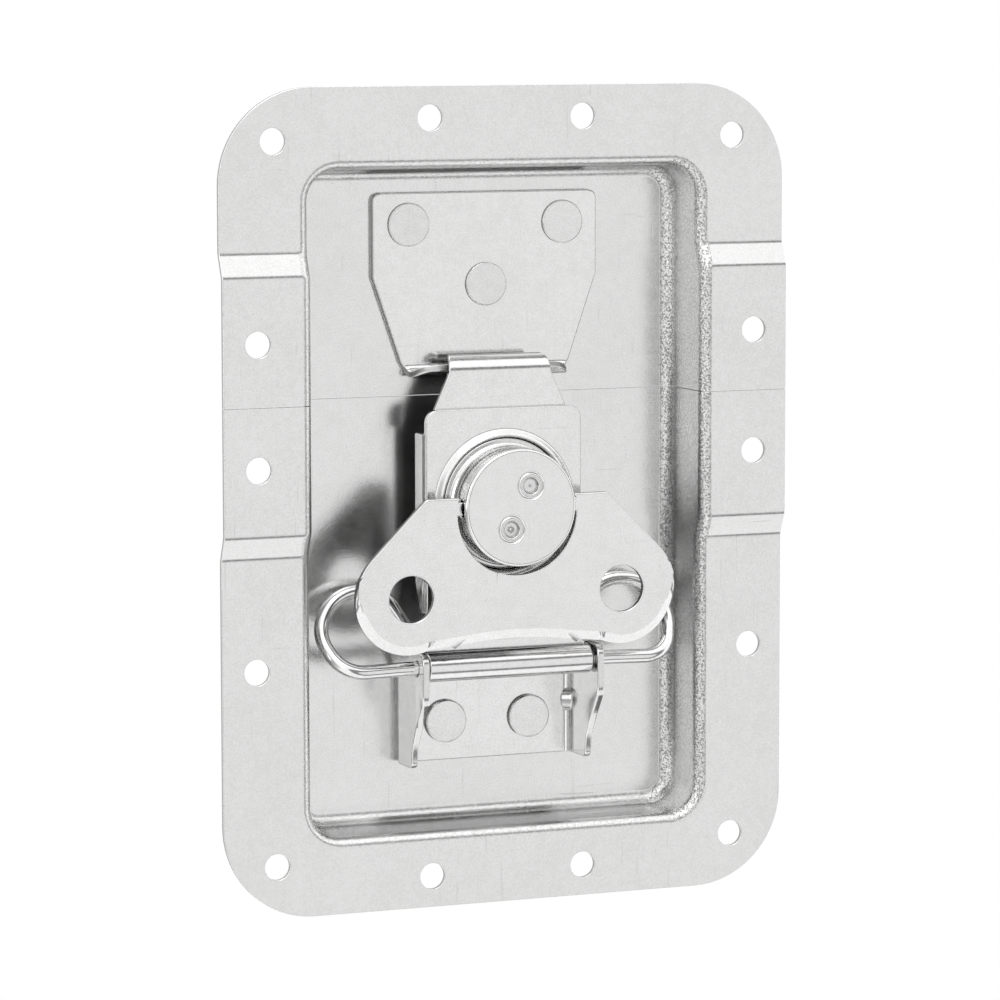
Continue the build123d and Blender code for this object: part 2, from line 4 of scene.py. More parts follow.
import bmesh
import bpy
import numpy as np
from mathutils import Matrix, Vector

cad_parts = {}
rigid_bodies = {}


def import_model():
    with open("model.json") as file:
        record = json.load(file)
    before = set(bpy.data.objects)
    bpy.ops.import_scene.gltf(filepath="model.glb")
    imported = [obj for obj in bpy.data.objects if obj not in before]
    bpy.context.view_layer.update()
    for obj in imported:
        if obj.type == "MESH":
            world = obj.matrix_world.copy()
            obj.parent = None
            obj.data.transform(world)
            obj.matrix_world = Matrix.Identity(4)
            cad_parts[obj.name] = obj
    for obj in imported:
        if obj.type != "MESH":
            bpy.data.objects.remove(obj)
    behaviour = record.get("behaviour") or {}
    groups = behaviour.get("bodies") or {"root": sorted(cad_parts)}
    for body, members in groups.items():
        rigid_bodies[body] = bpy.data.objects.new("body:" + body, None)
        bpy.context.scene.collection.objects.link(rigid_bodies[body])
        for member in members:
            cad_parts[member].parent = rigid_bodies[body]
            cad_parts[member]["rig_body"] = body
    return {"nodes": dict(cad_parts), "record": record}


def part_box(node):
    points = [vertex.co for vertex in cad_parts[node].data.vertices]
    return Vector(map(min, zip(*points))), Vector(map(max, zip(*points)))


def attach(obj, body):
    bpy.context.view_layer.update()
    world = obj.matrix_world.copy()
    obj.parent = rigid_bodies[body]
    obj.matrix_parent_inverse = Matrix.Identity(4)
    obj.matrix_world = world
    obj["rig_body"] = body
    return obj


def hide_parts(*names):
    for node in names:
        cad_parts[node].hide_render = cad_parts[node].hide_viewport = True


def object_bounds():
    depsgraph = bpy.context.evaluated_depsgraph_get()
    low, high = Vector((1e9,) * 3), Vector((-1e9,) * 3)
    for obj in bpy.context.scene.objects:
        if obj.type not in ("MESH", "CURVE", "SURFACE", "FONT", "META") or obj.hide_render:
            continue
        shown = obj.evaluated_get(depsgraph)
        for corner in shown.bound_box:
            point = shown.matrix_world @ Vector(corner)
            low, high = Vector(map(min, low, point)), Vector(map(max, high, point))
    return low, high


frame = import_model()
cad_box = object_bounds()
nodes = frame["nodes"]
mm = 0.001

# ---------------------------------------------------------------- edges
same_point = 2e-6  # corners of loose triangles this near are one corner
sliver = 0.03 * mm  # after that, corners nearer than this are joined
flat_angle = 0.25  # degrees; faces that differ less become one
sharp_angle = 35.0  # degrees; sharper edges are broken
wing_sharp_angle = 22.0
edge_segments = 2
sheet_limit = 1.7 * mm  # a strip no wider than this is the cut edge of a sheet
front_painted_light = 0.85  # painted light: how much lighter a sheared edge's painted dark is where it faces the front
front_gain = 1.7
parting_gap = 0.16 * mm
split_z = 20.8  # height of the parting line, mm
chosen_pieces = ("butterfly_wing", "base_bracket", "upper_dish", "lower_dish")

# ---------------------------------------------------------------- camera
aim = np.array([-1.741, -1.2, -0.579]) * mm
view_turn = math.radians(22.0)  # to the object's left
view_rise = math.radians(6.34)
view_roll = math.radians(-0.096)
view_distance = 966.4 * mm
lens = 166.18
sensor = 36.0
nearest_seen = 0.05
farthest_seen = 20.0


def rotation(axis, angle):
    """3 x 3 matrix of a turn about a unit axis: I + sin K + (1 - cos) K K, K the cross matrix."""
    x, y, z = axis
    k = np.array([[0, -z, y], [z, 0, -x], [-y, x, 0]], float)
    return np.eye(3) + math.sin(angle) * k + (1 - math.cos(angle)) * k @ k


def add_camera():
    """Camera at view_distance from aim, turned, raised and rolled by the view's angles."""
    flat = math.cos(view_rise)
    back = np.array(
        [-math.sin(view_turn) * flat, -math.cos(view_turn) * flat, math.sin(view_rise)]
    )
    right = np.cross([0, 0, 1], back)
    right /= np.linalg.norm(right)
    up = np.cross(back, right)
    axes = rotation(back, view_roll) @ np.stack([right, up, back], axis=1)
    data = bpy.data.cameras.new("camera")
    data.lens = lens
    data.sensor_width = sensor
    data.clip_start = nearest_seen
    data.clip_end = farthest_seen
    camera = bpy.data.objects.new("camera", data)
    matrix = np.eye(4)
    matrix[:3, :3] = axes
    matrix[:3, 3] = aim + view_distance * back
    camera.matrix_world = Matrix(matrix)
    bpy.context.scene.collection.objects.link(camera)
    bpy.context.scene.camera = camera


# ---------------------------------------------------------------- surroundings
panel_turn = view_turn  # a plate that faces the front mirrors this side of the room
panel_drop = -0.10
panel_edge = math.radians(20)
gap_edge = math.radians(36)
panel_soft = math.radians(5)
panel_level = 1.05
gap_level = 0.30
room_level = 1.34
room_rise = 0.12  # how much brighter the room is overhead
shade_turn = math.radians(-78)  # dim left side of the room
shade_inner = math.radians(18)
shade_outer = math.radians(42)
shade_depth = 0.6


# ---------------------------------------------------------------- shader maths
class Value:
    """A socket that takes + - * / with numbers and other sockets, through Math nodes."""

    def __init__(self, graph, socket):
        self.graph = graph
        self.socket = socket

    def _math(self, operation, a, b):
        return self.graph.node("ShaderNodeMath", {"operation": operation}, a, b)

    def __add__(self, other):
        return self._math("ADD", self, other)

    def __radd__(self, other):
        return self._math("ADD", other, self)

    def __sub__(self, other):
        return self._math("SUBTRACT", self, other)

    def __rsub__(self, other):
        return self._math("SUBTRACT", other, self)

    def __mul__(self, other):
        return self._math("MULTIPLY", self, other)

    def __rmul__(self, other):
        return self._math("MULTIPLY", other, self)

    def clamped(self):
        return self.graph.node("ShaderNodeMath", {"operation": "ADD", "use_clamp": True}, self, 0.0)

    def between(self, low, high):
        """0 below low, 1 above high, smooth in the middle."""
        settings = {"interpolation_type": "SMOOTHSTEP"}
        return self.graph.node("ShaderNodeMapRange", settings, self, low, high, 0.0, 1.0)


class Graph:
    """Node tree of a material or world; node() adds a node, its settings first, then its inputs."""

    def __init__(self, owner):
        owner.use_nodes = True
        self.tree = owner.node_tree
        self.tree.nodes.clear()

    def node(self, kind, settings=None, *inputs, out=0, **named):
        made = self.tree.nodes.new(kind)
        for key, value in (settings or {}).items():
            setattr(made, key, value)
        for place, value in list(enumerate(inputs)) + list(named.items()):
            socket = made.inputs[place if isinstance(place, int) else place.replace("_", " ")]
            if isinstance(value, Value):
                self.tree.links.new(value.socket, socket)
            elif value is not None:
                socket.default_value = value
        return Value(self, made.outputs[out]) if made.outputs else None

    def noise(self, where, scale, detail=2.0, rough=0.5):
        return self.node(
            "ShaderNodeTexNoise", {}, Vector=where, Scale=scale, Detail=detail,
            Roughness=rough, out="Fac",
        )

    def stretched(self, where, scale, turn):
        return self.node("ShaderNodeMapping", {}, where, (0.0, 0.0, 0.0), turn, scale)

    def mix(self, share, low, high):
        """Colour from low to high."""
        made = self.tree.nodes.new("ShaderNodeMix")
        made.data_type = "RGBA"
        for place, value in ((0, share), (6, low), (7, high)):
            if isinstance(value, Value):
                self.tree.links.new(value.socket, made.inputs[place])
            else:
                made.inputs[place].default_value = value
        return Value(self, made.outputs[2])

    def finish(self, shader, kind="ShaderNodeOutputMaterial"):
        self.node(kind, {}, shader)


# ---------------------------------------------------------------- zinc finishes
cloud_scale = 45.0  # noise cells per metre
mottle_scale = 520.0
fine_scale = 2800.0
grain_scale = 2300.0
speck_scale = 1700.0
down_scratches = (1300.0, 1300.0, 70.0)
across_scratches = (60.0, 900.0, 1500.0)
bump_depth = 0.2 * mm


def grey(level, warm=0.0):
    """Grey with a trace of yellow."""
    return (level + warm, level, level - warm, 1.0)


def zinc(slot, bright, dull, rough, peel, scratch, rubbed=False):
    """Bright zinc plate: faint clouds, specks, fine scratches, orange peel.

    Attributes of the piece give the dark grey of its sheared edges, partly painted shade, the
    painted shade in rivet crevices and grooves, and where the sheet was stretched, with painted
    shade on faces that look left. A rubbed finish is that of a broken edge, which this dark grey
    and painted shade don't reach.
    """
    material = bpy.data.materials.new(slot + "_edge" if rubbed else slot)
    g = Graph(material)
    where = g.node("ShaderNodeTexCoord", {}, out="Object")
    cut_and_painted_shade = g.node("ShaderNodeAttribute", {"attribute_name": "cut_and_painted_shade"}, out="Fac")
    stretch_and_shade = g.node("ShaderNodeAttribute", {"attribute_name": "drawn"}, out="Fac")
    cloud = g.noise(where, cloud_scale, 4.0, 0.6)
    mottle = g.noise(where, mottle_scale, 4.0, 0.65)
    fine = g.noise(where, fine_scale, 3.0, 0.6)
    grain = g.noise(where, grain_scale, 3.0, 0.7)
    specks = g.noise(where, speck_scale).between(0.70, 0.77)
    down = g.stretched(where, down_scratches, (0.0, 0.35, 0.0))
    across = g.stretched(where, across_scratches, (0.0, 0.7, 0.0))
    lines = g.noise(down, 1.0).between(0.68, 0.76)
    lines = (lines + g.noise(across, 1.0).between(0.69, 0.76)).clamped() * scratch
    tone = (cloud * 0.2 + mottle * 0.25 + fine * 0.55).between(0.38, 0.62)
    colour = g.mix(tone, grey(dull, 0.003), grey(bright, 0.001))
    colour = g.mix(specks * 0.3, colour, grey(0.34, 0.004))
    colour = g.mix(lines * 0.14, colour, grey(0.45))
    # dark pits of the grain; on faces that look left they are partly painted shade
    pits_and_shade = grain.between(0.48, 0.57) * stretch_and_shade
    colour = g.mix(pits_and_shade * 0.75, colour, grey(0.16, 0.003))
    if not rubbed:
        # painted shade: marked faces turn dark grey, the sheared edges' own dark grey together with
        # painted shade in their outlines, rivet crevices and grooves
        colour = g.mix(cut_and_painted_shade * 0.85, colour, grey(0.22, 0.003))
    height = mottle * 0.5 + fine * 0.35 - lines * 0.2 + stretch_and_shade * grain * 8.0
    roughness = rough + (tone - 0.5) * 0.06 + lines * 0.08 + stretch_and_shade * 0.04 + cut_and_painted_shade * 0.2
    bump = g.node(
        "ShaderNodeBump", {}, Strength=peel, Distance=bump_depth, Height=height, out="Normal"
    )
    shader = g.node(
        "ShaderNodeBsdfPrincipled", {}, Base_Color=colour, Metallic=1.0,
        Roughness=roughness, Normal=bump,
    )
    g.finish(shader)
    return material


recipes = {  # bright and dull grey, roughness, orange peel, scratches
    "zinc_drawn": (0.745, 0.655, 0.20, 0.16, 1.0),
    "zinc_sheet": (0.765, 0.67, 0.15, 0.12, 1.0),
    "zinc_wire": (0.74, 0.66, 0.12, 0.05, 0.4),
    "zinc_turned": (0.75, 0.67, 0.16, 0.10, 1.0),
    "zinc_rivet": (0.75, 0.63, 0.20, 0.20, 1.0),
}
finishes = {slot: zinc(slot, *recipe) for slot, recipe in recipes.items()}
edges = {slot: zinc(slot, *recipe, rubbed=True) for slot, recipe in recipes.items()}
slot_of = {part["node"]: part["material_slot"] for part in frame["record"]["subparts"]}


# ---------------------------------------------------------------- pieces from the CAD nodes
def body_of(node):
    return nodes[node]["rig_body"]


def dress(piece, node):
    """Gives a piece its node's finish and body, and hides the node."""
    piece.data.materials.clear()
    piece.data.materials.append(finishes[slot_of[node]])
    piece.data.materials.append(edges[slot_of[node]])
    bpy.context.scene.collection.objects.link(piece)
    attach(piece, body_of(node))
    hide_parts(node)


def cut_and_shade_faces(work):
    """1 for each face of a strip between sharp edges that is about as wide as the sheet.

    The width of a strip is twice its area over the length of its border. The mark is the dark
    grey of a sheared edge together with painted shade; it falls where a face looks to the front,
    which is painted light.
    """
    sharp = math.radians(sharp_angle)
    seen = set()
    marks = np.zeros(len(work.faces), np.float32)
    work.faces.index_update()
    for start in work.faces:
        if start in seen:
            continue
        strip, border, todo = [], 0.0, [start]
        seen.add(start)
        while todo:
            face = todo.pop()
            strip.append(face)
            for edge in face.edges:
                others = [f for f in edge.link_faces if f is not face]
                if len(others) == 1 and edge.calc_face_angle(0.0) < sharp:
                    if others[0] not in seen:
                        seen.add(others[0])
                        todo.append(others[0])
                else:
                    border += edge.calc_length()
        width = 2 * sum(f.calc_area() for f in strip) / max(border, 1e-9)
        if width < sheet_limit:
            for f in strip:
                facing = min(1.0, max(0.0, -front_gain * f.normal.y))
                marks[f.index] = 1.0 - front_painted_light * facing
    return marks


def round_edges(piece, width, chosen=False):
    """Bevel of the sharp edges, or of those with an edge weight, then flat faces kept flat.

    The bevel's own faces take the second material, the rubbed finish.
    """
    bevel = piece.modifiers.new("broken edges", "BEVEL")
    bevel.limit_method = "WEIGHT" if chosen else "ANGLE"
    bevel.angle_limit = math.radians(sharp_angle)
    bevel.width = width
    bevel.segments = edge_segments
    bevel.use_clamp_overlap = False
    bevel.loop_slide = False
    bevel.material = 1
    normals = piece.modifiers.new("flat faces stay flat", "WEIGHTED_NORMAL")
    normals.mode = "FACE_AREA_WITH_ANGLE"
    normals.weight = 70
    normals.keep_sharp = True


def close_parting(work, node):
    """Moves the sheared edges at the parting line towards each other, almost to contact."""
    gap_foot, gap_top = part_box("lower_dish")[1][2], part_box("upper_dish")[0][2]
    step = (gap_top - gap_foot - parting_gap) / 2
    edge, step = (gap_top, -step) if node == "upper_dish" else (gap_foot, step)
    for vert in work.verts:
        if abs(vert.co.z - edge) < same_point:
            vert.co.z += step


def press_in_darts(work):
    """Draws the bracket's plain darts in towards the bends, under the rounded gussets.

    Both distances of a dart's corners from the bend's corner line shrink to dart_share.
    """
    low, high = (np.array(c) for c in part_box("base_bracket"))
    corner_x, face_y = high[0] - ear_thick * mm, high[1] - ear_thick * mm
    slack = 0.01 * mm
    for vert in work.verts:
        inwards, forwards = corner_x - abs(vert.co.x), face_y - vert.co.y
        if abs(abs(vert.co.z - gusset_z * mm) - dart_half * mm) > slack:
            continue
        inside = -slack < inwards < dart_span * mm and -slack < forwards < dart_span * mm
        if inside and inwards + forwards > dart_least * mm:
            vert.co.x = math.copysign(corner_x - inwards * dart_share, vert.co.x)
            vert.co.y = face_y - forwards * dart_share


def fade_bevel(work):
    """Lets the wing's wide bevel grow from nothing down the outer side of each lobe.

    Its inner edge moves out to the lobe's edge, and its lower edge up to the front face, by one
    minus a smooth step of the distance below the bevel's start.
    """
    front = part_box("butterfly_wing")[0][1] / mm
    for vert in work.verts:
        x, y, z = (c / mm for c in vert.co)
        out, up = abs(x) - lobe_x, z - lobe_z
        radius = math.hypot(out, up)
        t = min(1.0, max(0.0, (bevel_start - up) / bevel_fade))
        share = t * t * (3 - 2 * t)
        if out < 0 or up > bevel_start + 0.01 or share >= 1:
            continue
        if abs(radius - (lobe_r - bevel_w)) < rim_slack and abs(y - front) < front_slack:
            radius_now = lobe_r - bevel_w * share
            vert.co.x = math.copysign(lobe_x + out / radius * radius_now, x) * mm
            vert.co.z = (lobe_z + up / radius * radius_now) * mm
        elif abs(radius - lobe_r) < rim_slack and abs(y - front - bevel_h) < wall_slack:
            vert.co.y = (front + bevel_h * share + least_wall) * mm


def smooth_waist(work):
    """Joins the bevel of the wing's waist to the bevels of its lobes.

    Between waist_end and lobe_cut the inner edge follows the straight line of the waist's bevel,
    and the small tooth's top slopes down to the wall.
    """
    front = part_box("butterfly_wing")[0][1] / mm
    for vert in work.verts:
        x, y, z = (c / mm for c in vert.co)
        x = abs(x)
        if y > front + bevel_h - wall_margin:
            continue
        if waist_end < x < lobe_cut and z < waist_line:
            vert.co.z = (waist_line - waist_slope * (x - waist_end)) * mm
            vert.co.y = front * mm
        elif abs(x - tooth_x) < tooth_slack and z < tooth_z:
            vert.co.y = (front + bevel_h) * mm


def plain_of_wing(x, z):
    """True at the wing's edges that have no wide bevel: its top and its holes."""
    at_hole = math.hypot(abs(x) - hole_x, z - hole_z) < hole_reach
    return at_hole or z > lobe_z + bevel_start + bevel_margin


def plain_of_dish(x, z):
    """True away from the parting line, which stays sheared and dark, partly with painted shade."""
    return abs(z - split_z) > parting_reach


def plain_of_bracket(x, z):
    """True away from the darts."""
    return abs(z - gusset_z) > dart_reach


def weigh_edges(work, plain, sharp):
    """Weight 1 for each sharp edge whose middle is at a plain place; the others stay sharp."""
    weight = work.edges.layers.float.new("bevel_weight_edge")
    for edge in work.edges:
        if len(edge.link_faces) == 2 and edge.calc_face_angle(0.0) > math.radians(sharp):
            middle = (edge.verts[0].co + edge.verts[1].co) / 2 / mm
            edge.smooth = bool(plain(middle.x, middle.z))
            edge[weight] = 1.0 if edge.smooth else 0.0


def broken_edges(node, width):
    """Copy of a node with its sharp edges broken: doubles merged, flat areas joined, Bevel."""
    mesh = bpy.data.meshes.new(node + "_finished")
    work = bmesh.new()
    work.from_mesh(nodes[node].data)
    bmesh.ops.remove_doubles(work, verts=work.verts, dist=same_point)
    bmesh.ops.dissolve_limit(
        work, angle_limit=math.radians(flat_angle), verts=work.verts, edges=work.edges
    )
    if node == "butterfly_wing":
        smooth_waist(work)
    bmesh.ops.dissolve_degenerate(work, edges=work.edges, dist=sliver)
    bmesh.ops.remove_doubles(work, verts=work.verts, dist=sliver)
    cut_and_painted_shade = cut_and_shade_faces(work)
    if node in ("upper_dish", "lower_dish"):
        close_parting(work, node)
        weigh_edges(work, plain_of_dish, sharp_angle)
    if node == "base_bracket":
        press_in_darts(work)
        weigh_edges(work, plain_of_bracket, sharp_angle)
    if node == "butterfly_wing":
        fade_bevel(work)
        weigh_edges(work, plain_of_wing, wing_sharp_angle)
    # sheared edges' dark grey with painted shade, painted lighter where they face the front
    layer = work.faces.layers.float.new("cut_and_painted_shade")
    for face in work.faces:
        face[layer] = cut_and_painted_shade[face.index]
    if node == "butterfly_wing":
        bmesh.ops.triangulate(work, faces=[f for f in work.faces if len(f.verts) > 4])
    work.to_mesh(mesh)
    work.free()
    mesh.shade_smooth()
    piece = bpy.data.objects.new(node + "_finished", mesh)
    round_edges(piece, width, chosen=node in chosen_pieces)
    dress(piece, node)
    return piece


def mark_drawn_and_shade(piece):
    """Face attribute: how coarse the zinc's grain is, most at the bends round the recess.

    It rises with the lean of a face from the flat sheet and falls again on steep walls. Faces
    at the front that look left get the full amount, the others a quarter: on those faces the
    grain's dark pits are partly painted shade.
    """
    mesh = piece.data
    count = len(mesh.polygons)
    normals, middles = np.zeros(count * 3, np.float32), np.zeros(count * 3, np.float32)
    mesh.polygons.foreach_get("normal", normals)
    mesh.polygons.foreach_get("center", middles)
    normals, middles = normals.reshape(-1, 3), middles.reshape(-1, 3) / mm
    lean = 1 - np.abs(normals[:, 1])
    inside = np.abs(middles[:, 0]) < mouth_half_x
    inside &= np.abs(middles[:, 2] - mouth_middle_z) < mouth_half_z
    facing = np.clip(-normals[:, 0] / 0.12, 0, 1) * (normals[:, 1] < 0.0)
    steep = np.clip((lean - 0.6) / 0.25, 0, 1)
    amount = np.clip(lean / 0.03, 0, 1) * (1 - 0.6 * steep) * inside
    # painted shade: faces that look left get more dark grain
    amount *= 0.25 + 0.75 * facing
    mark = mesh.attributes.new("drawn", "FLOAT", "FACE")
    mark.data.foreach_set("value", amount.astype(np.float32))


# ---------------------------------------------------------------- sizes, mm
mouth_half_x = 47.6  # rim of the recess, to the end of its bend
mouth_half_z = 73.6
mouth_middle_z = -0.5
keeper_thick = 1.5
keeper_bend = 3.0  # outer radius of the lip's bend
keeper_turn = 120.0
keeper_lip_run = 2.54  # straight part of the lip
keeper_corner = 1.8
keeper_shoulder = 45.8
keeper_foot_half = 18.0
keeper_lip_corner = 5.2
keeper_crown = (0.12, 4.58, 0.3, 0.05)  # proud of the node, radius, edge, crown
bracket_crown = (0.55, 4.58, 0.35, 0.06)
crown_depth = 0.48  # of a crown's foot, below the node's front
ring_sunk = 0.145  # keeps the crest of a cap rivet's ring level with the cap
lobe_x = 24.0
lobe_z = -19.7
lobe_r = 11.9
hole_x = 23.7
hole_z = -19.85
hole_reach = 5.2  # past the edge of the hole
bevel_w = 1.9
bevel_h = 1.0
bevel_start = 4.0  # above the middle of the lobe
bevel_fade = 9.0
bevel_margin = 0.6
rim_slack = 0.06
front_slack = 0.02
wall_slack = 0.1
wall_margin = 0.05
least_wall = 0.01
waist_end = 15.8  # from here to lobe_cut the two bevels of the node don't meet
waist_line = -28.43  # height of the waist's inner edge there
waist_slope = 0.1
lobe_cut = 19.6
tooth_x = 13.7
tooth_z = -30.7
tooth_slack = 0.1
parting_reach = 0.5
ear_thick = 1.5
gusset_z = -45.6
gusset_half = 2.7
gusset_reach = 2.0
gusset_bite = 0.3  # of its foot in the bend
dart_half = 1.0
dart_least = 2.0
dart_span = 3.0
dart_share = 0.55
dart_reach = 1.5


# ---------------------------------------------------------------- worked-out surfaces
def grid_faces(rows, columns, closed=False):
    """Corner numbers of the faces of a grid; closed joins the last column to the first."""
    row, column = np.meshgrid(
        np.arange(rows - 1), np.arange(columns if closed else columns - 1), indexing="ij"
    )
    right = (column + 1) % columns
    corners = [row * columns + column, row * columns + right]
    corners += [(row + 1) * columns + right, (row + 1) * columns + column]
    return np.stack([c.ravel() for c in corners], axis=1)


def make_piece(name, points, faces, cut_and_painted_shade, slot, body):
    """Mesh from whole arrays; doubles at poles and seams are merged and faces turned outwards."""
    mesh = bpy.data.meshes.new(name)
    mesh.from_pydata(points.reshape(-1, 3).tolist(), [], faces.tolist())
    # face mark: sheared edges' dark grey and painted shade
    mark = mesh.attributes.new("cut_and_painted_shade", "FLOAT", "FACE")
    mark.data.foreach_set("value", np.asarray(cut_and_painted_shade, np.float32))
    work = bmesh.new()
    work.from_mesh(mesh)
    bmesh.ops.remove_doubles(work, verts=work.verts, dist=1e-7)
    bmesh.ops.recalc_face_normals(work, faces=work.faces)
    work.to_mesh(mesh)
    work.free()
    mesh.shade_smooth()
    mesh.materials.append(finishes[slot])
    mesh.materials.append(edges[slot])
    piece = bpy.data.objects.new(name, mesh)
    bpy.context.scene.collection.objects.link(piece)
    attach(piece, body)
    return piece


def turned(name, middle, profile, slot, body, sides=96):
    """Profile (r, forward, dark) turned about an axis along -Y through middle; dark is painted
    shade.

    x = r cos a, z = r sin a, y = -forward, a round the whole circle; r is 0 at both ends.
    """
    profile = np.array(profile, float)
    angle = np.linspace(0, 2 * np.pi, sides, endpoint=False)
    r, forward = profile[:, 0, None] * mm, profile[:, 1, None] * mm
    points = np.stack(
        [r * np.cos(angle), -forward + 0 * angle, r * np.sin(angle)], axis=-1
    ) + np.asarray(middle)
    faces = grid_faces(len(profile), sides, closed=True)
    dark = np.repeat((profile[:-1, 2] + profile[1:, 2]) / 2, sides)
    return make_piece(name, points, faces, dark, slot, body)


def arc(middle_r, middle_f, radius, start, end, dark=0.0, steps=6):
    """Points of a turned profile on an arc, angles in degrees from outwards to forwards."""
    a = np.radians(np.linspace(start, end, steps))
    return [(middle_r + radius * math.cos(t), middle_f + radius * math.sin(t), dark) for t in a]


def middle_of(node):
    """Middle of a node's box in x and z, at its front face, and half its width."""
    low, high = (np.array(c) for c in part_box(node))
    middle = np.array([(low[0] + high[0]) / 2, low[1], (low[2] + high[2]) / 2])
    return middle, (high[0] - low[0]) / 2


def rivet_crown(node, proud, radius, edge, crown):
    """Head of a flat rivet: a faint crown, a rounded edge, and painted shade on its wall and foot
    for the crevice.

    The crown's height falls with the square of the distance from the middle.
    """
    rim = radius - edge
    profile = [(rim * t, proud + crown * (1 - t * t), 0.0) for t in np.linspace(0, 1, 6)]
    profile += arc(rim, proud - edge, edge, 80, 0)
    # painted shade: wall and foot dark as the crevice's shade
    profile += [(radius, proud - edge - 0.05, 1.0), (radius, -crown_depth, 1.0)]
    profile += [(0, -crown_depth, 1.0)]
    return turned(node + "_crown", middle_of(node)[0], profile, slot_of[node], body_of(node))


def dished_rivet(node, pip):
    """Rivet set with a ring punch: a raised ring between two grooves round a flat middle, with
    painted shade in the grooves, on the point and on the walls.

    pip is the height of the point in the middle.
    """
    middle, half = middle_of(node)
    radius = half / mm
    # third numbers: painted shade in the grooves, on the point and on the walls
    profile = [
        (0, -0.45 + pip, 0.3), (0.12, -0.50 + pip * 0.5, 0.3), (0.3, -0.55, 0.0),
        (1.25, -0.62, 0.0), (1.5, -0.66, 0.8), (1.56, -0.62, 0.9), (1.74, -0.05, 0.5),
        (1.85, 0.08, 0.0), (2.15, 0.14, 0.0), (2.45, 0.08, 0.0), (2.65, -0.05, 0.0),
        (2.8, -0.22, 0.5), (radius, -0.25, 1.0), (radius, -1.2, 1.0), (0, -1.2, 1.0),
    ]
    profile = [(r, forward - ring_sunk, dark) for r, forward, dark in profile]
    piece = turned(node + "_head", middle, profile, slot_of[node], body_of(node))
    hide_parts(node)


def sheet_piece(name, mid, across, thick, slot, body):
    """Sheet of even thickness about a grid of middle points, with its border closed.

    Each face is the middle grid moved half the thickness along the unit normals across.
    """
    rows, columns = mid.shape[:2]
    points = np.stack([mid + across * thick / 2, mid - across * thick / 2])
    front = grid_faces(rows, columns)
    count = rows * columns
    number = np.arange(count).reshape(rows, columns)
    border = np.concatenate(
        [number[0, :-1], number[:-1, -1], number[-1, :0:-1], number[:0:-1, 0]]
    )
    after = np.roll(border, -1)
    rim = np.stack([border, after, after + count, border + count], axis=1)
    faces = np.concatenate([front, front[:, ::-1] + count, rim])
    # the rim, a sheared edge, is marked dark: its own dark grey with painted shade
    dark = np.concatenate([np.zeros(2 * len(front)), np.ones(len(rim))])
    return make_piece(name, points, faces, dark, slot, body)


def keeper_sheet_form():
    """Keeper as one bent sheet: half width against the distance down the unbent sheet.

    The plate runs straight down, turns 120 degrees about the lip's bend and runs on to the
    lip's end. Its half width is even, then tapers, and follows a quarter circle at each corner.
    """
    low, high = (np.array(c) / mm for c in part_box("keeper_plate"))
    half, top, foot, floor = (high[0] - low[0]) / 2, high[2], low[2], high[1]
    bend = keeper_bend - keeper_thick / 2
    bend_start = foot + keeper_bend
    turn = math.radians(keeper_turn)
    arc_run = bend * turn
    end = arc_run + keeper_lip_run
    drop = np.linspace(0, keeper_corner, 6)
    top_z = top - drop
    top_w = half - keeper_corner + np.sqrt(keeper_corner**2 - (keeper_corner - drop) ** 2)
    side_z = np.linspace(keeper_shoulder, bend_start, 14)
    side_w = np.interp(side_z, [foot, keeper_shoulder], [keeper_foot_half, half])
    plate_s = bend_start - np.concatenate([top_z, [keeper_shoulder + 6.0], side_z])
    plate_w = np.concatenate([top_w, [half], side_w])
    left = np.linspace(keeper_lip_corner, 0, 13)
    lip_s = end - left
    lip_w = keeper_foot_half - keeper_lip_corner
    lip_w = lip_w + np.sqrt(keeper_lip_corner**2 - (keeper_lip_corner - left) ** 2)
    lead_s = np.linspace(0, lip_s[0], 6)[1:-1]
    lead_w = np.linspace(side_w[-1], keeper_foot_half, 6)[1:-1]
    s = np.concatenate([plate_s, lead_s, lip_s])
    w = np.concatenate([plate_w, lead_w, lip_w])
    a = np.clip(s / bend, 0, turn)
    past = np.clip(s - arc_run, 0, None)
    h = keeper_thick / 2 + bend * (1 - np.cos(a)) + past * math.sin(turn)
    z = bend_start - bend * np.sin(a) - past * math.cos(turn) + np.clip(-s, 0, None)
    u = np.linspace(-1, 1, 33)
    x = w[:, None] * u
    shape = np.zeros(x.shape)
    mid = np.stack([x, floor - h[:, None] + shape, z[:, None] + shape], axis=-1) * mm
    across = np.stack(
        [shape, -np.cos(a)[:, None] + shape, np.sin(a)[:, None] + shape], axis=-1
    )
    piece = sheet_piece(
        "keeper_sheet", mid, across, keeper_thick * mm, "zinc_sheet", body_of("keeper_plate")
    )
    round_edges(piece, 0.28 * mm)
    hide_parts("keeper_plate")


def gusset_ridge(side):
    """Dart pressed into the corner between bracket and ear.

    Straight across the corner at every height; its reach is a half ellipse along z, and its
    foot is a line inside the bend.
    """
    low, high = (np.array(c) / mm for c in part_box("base_bracket"))
    corner_x = high[0] - ear_thick
    face_y = high[1] - ear_thick
    along = np.radians(np.linspace(-90, 90, 17))
    reach = gusset_reach * np.cos(along)[:, None]
    z = gusset_z + gusset_half * np.sin(along)[:, None]
    t = np.linspace(0, 1, 9)
    inwards, forwards = reach * (1 - t), reach * t
    front = np.stack([corner_x - inwards, face_y - forwards, z + 0 * t], axis=-1)
    bite = gusset_bite + 0 * z
    foot = np.stack([corner_x + bite, face_y + bite, z], axis=-1)
    points = np.concatenate([front, foot], axis=1) * np.array([side, 1, 1]) * mm
    faces = grid_faces(len(along), points.shape[1], closed=True)
    make_piece(
        "gusset_right" if side > 0 else "gusset_left", points, faces, np.zeros(len(faces)),
        "zinc_sheet", body_of("base_bracket"),
    )


